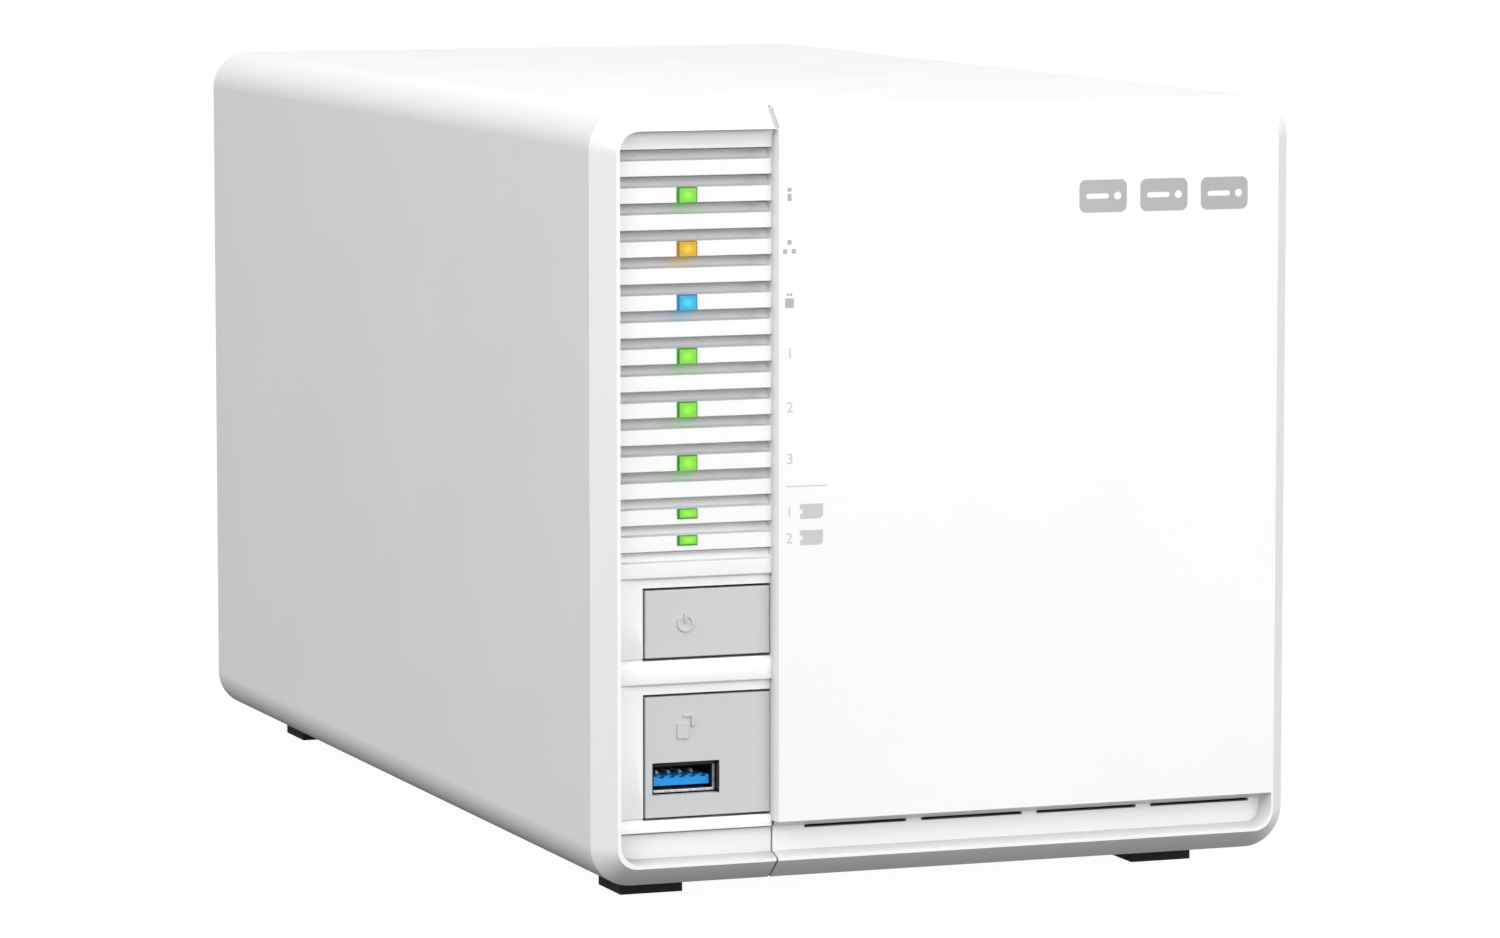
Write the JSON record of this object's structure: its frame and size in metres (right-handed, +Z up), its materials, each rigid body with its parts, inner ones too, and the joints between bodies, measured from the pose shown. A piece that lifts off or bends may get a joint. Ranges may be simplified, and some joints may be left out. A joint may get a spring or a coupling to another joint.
{
  "type": "network attached storage",
  "caption": "Desktop network storage unit: white box, louvred lamp and button strip, pull-off front cover over drive trays, rear fan and sockets.",
  "frame": {"origin": "centre of the bounding box at the level the feet stand on", "axes": "+Z up, +Y from the front face to the rear, +X to the right as seen from the front"},
  "size_m": [0.142, 0.2602, 0.1506],
  "materials": {
    "shell_white": "fine satin moulded plastic",
    "panel_white": "satin moulded plastic, louvred",
    "button_grey": "fine matt light grey plastic",
    "lens_green": "clear light pipe, lit green",
    "lens_amber": "clear light pipe, lit amber",
    "lens_blue": "clear light pipe, lit blue",
    "port_steel": "bright stamped steel",
    "usb_blue": "blue connector plastic",
    "cage_steel": "zinc-plated sheet steel",
    "drive_alloy": "cast and machined drive body",
    "tray_black": "textured black plastic",
    "board_green": "glass-fibre board under green solder mask",
    "sink_alloy": "extruded fins",
    "rear_paint": "fine-textured pale grey powder paint",
    "guard_chrome": "plated round wire",
    "fan_black": "glass-filled black plastic",
    "inlet_black": "smooth black connector plastic",
    "screw_steel": "zinc-plated",
    "magnet_nickel": "nickel-plated",
    "foot_rubber": "soft black rubber"
  },
  "bodies": {
    "chassis": {"left_shell": "shell_white", "right_shell": "shell_white", "louvre_panel": "panel_white", "lens_status": "lens_green", "lens_drive_1": "lens_green", "lens_drive_2": "lens_green", "lens_drive_3": "lens_green", "lens_module_1": "lens_green", "lens_module_2": "lens_green", "lens_network": "lens_amber", "lens_expansion": "lens_blue", "front_usb_shell": "port_steel", "rear_usb_pair": "port_steel", "rear_usb_single": "port_steel", "ethernet_port": "port_steel", "display_port": "port_steel", "front_usb_tongue": "usb_blue", "front_board": "board_green", "backplane_board": "board_green", "main_board": "board_green", "memory_module": "board_green", "storage_module_1": "board_green", "storage_module_2": "board_green", "heat_sink": "sink_alloy", "drive_cage": "cage_steel", "rear_panel": "rear_paint", "fan_frame": "fan_black", "fan_guard": "guard_chrome", "fan_screw_1": "screw_steel", "foot_1": "foot_rubber", "fan_screw_2": "screw_steel", "foot_2": "foot_rubber", "fan_screw_3": "screw_steel", "foot_3": "foot_rubber", "fan_screw_4": "screw_steel", "foot_4": "foot_rubber", "case_screw_1": "screw_steel", "case_screw_2": "screw_steel", "power_inlet": "inlet_black"},
    "cover": {"front_cover": "shell_white", "cover_magnet_1": "magnet_nickel", "cover_magnet_2": "magnet_nickel", "cover_magnet_3": "magnet_nickel", "cover_magnet_4": "magnet_nickel"},
    "power_key": {"power_button": "button_grey"},
    "copy_key": {"copy_button": "button_grey"},
    "reset_key": {"reset_button": "inlet_black"},
    "rotor": {"fan_rotor": "fan_black"},
    "tray_1": {"drive_tray_1": "tray_black", "hard_drive_1": "drive_alloy"},
    "handle_1": {"tray_handle_1": "tray_black"},
    "tray_2": {"drive_tray_2": "tray_black", "hard_drive_2": "drive_alloy"},
    "handle_2": {"tray_handle_2": "tray_black"},
    "tray_3": {"drive_tray_3": "tray_black", "hard_drive_3": "drive_alloy"},
    "handle_3": {"tray_handle_3": "tray_black"}
  },
  "joints": [
    {"name": "cover_pull", "type": "slide", "parent": "chassis", "child": "cover", "axis": [0, -1, 0], "range_m": [0, 0.3]},
    {"name": "power_press", "type": "slide", "parent": "chassis", "child": "power_key", "axis": [0, 1, 0], "range_m": [0, 0.0008], "stiffness_N_per_m": 500},
    {"name": "copy_press", "type": "slide", "parent": "chassis", "child": "copy_key", "axis": [0, 1, 0], "range_m": [0, 0.0008], "stiffness_N_per_m": 500},
    {"name": "reset_press", "type": "slide", "parent": "chassis", "child": "reset_key", "axis": [0, -1, 0], "range_m": [0, 0.0006], "stiffness_N_per_m": 300},
    {"name": "fan_spin", "type": "hinge", "parent": "chassis", "child": "rotor", "pos_m": [0.0167, 0.11195, 0.0778], "axis": [0, 1, 0], "continuous": true},
    {"name": "tray_1_pull", "type": "slide", "parent": "chassis", "child": "tray_1", "axis": [0, -1, 0], "range_m": [0, 0.17]},
    {"name": "handle_1_swing", "type": "hinge", "parent": "tray_1", "child": "handle_1", "pos_m": [0.05, -0.12275, 0.1228], "axis": [0, 0, 1], "range_deg": [0, 70]},
    {"name": "tray_2_pull", "type": "slide", "parent": "chassis", "child": "tray_2", "axis": [0, -1, 0], "range_m": [0, 0.17]},
    {"name": "handle_2_swing", "type": "hinge", "parent": "tray_2", "child": "handle_2", "pos_m": [0.05, -0.12275, 0.0778], "axis": [0, 0, 1], "range_deg": [0, 70]},
    {"name": "tray_3_pull", "type": "slide", "parent": "chassis", "child": "tray_3", "axis": [0, -1, 0], "range_m": [0, 0.17]},
    {"name": "handle_3_swing", "type": "hinge", "parent": "tray_3", "child": "handle_3", "pos_m": [0.05, -0.12275, 0.0328], "axis": [0, 0, 1], "range_deg": [0, 70]}
  ],
  "couplings": [
    {"joint": "tray_1_pull", "follows": "cover_pull", "ratio": 0.55},
    {"joint": "handle_1_swing", "follows": "cover_pull", "rad_per_m": 4},
    {"joint": "tray_2_pull", "follows": "cover_pull", "ratio": 0.4},
    {"joint": "handle_2_swing", "follows": "cover_pull", "rad_per_m": 4},
    {"joint": "tray_3_pull", "follows": "cover_pull", "ratio": 0.25},
    {"joint": "handle_3_swing", "follows": "cover_pull", "rad_per_m": 4}
  ]
}
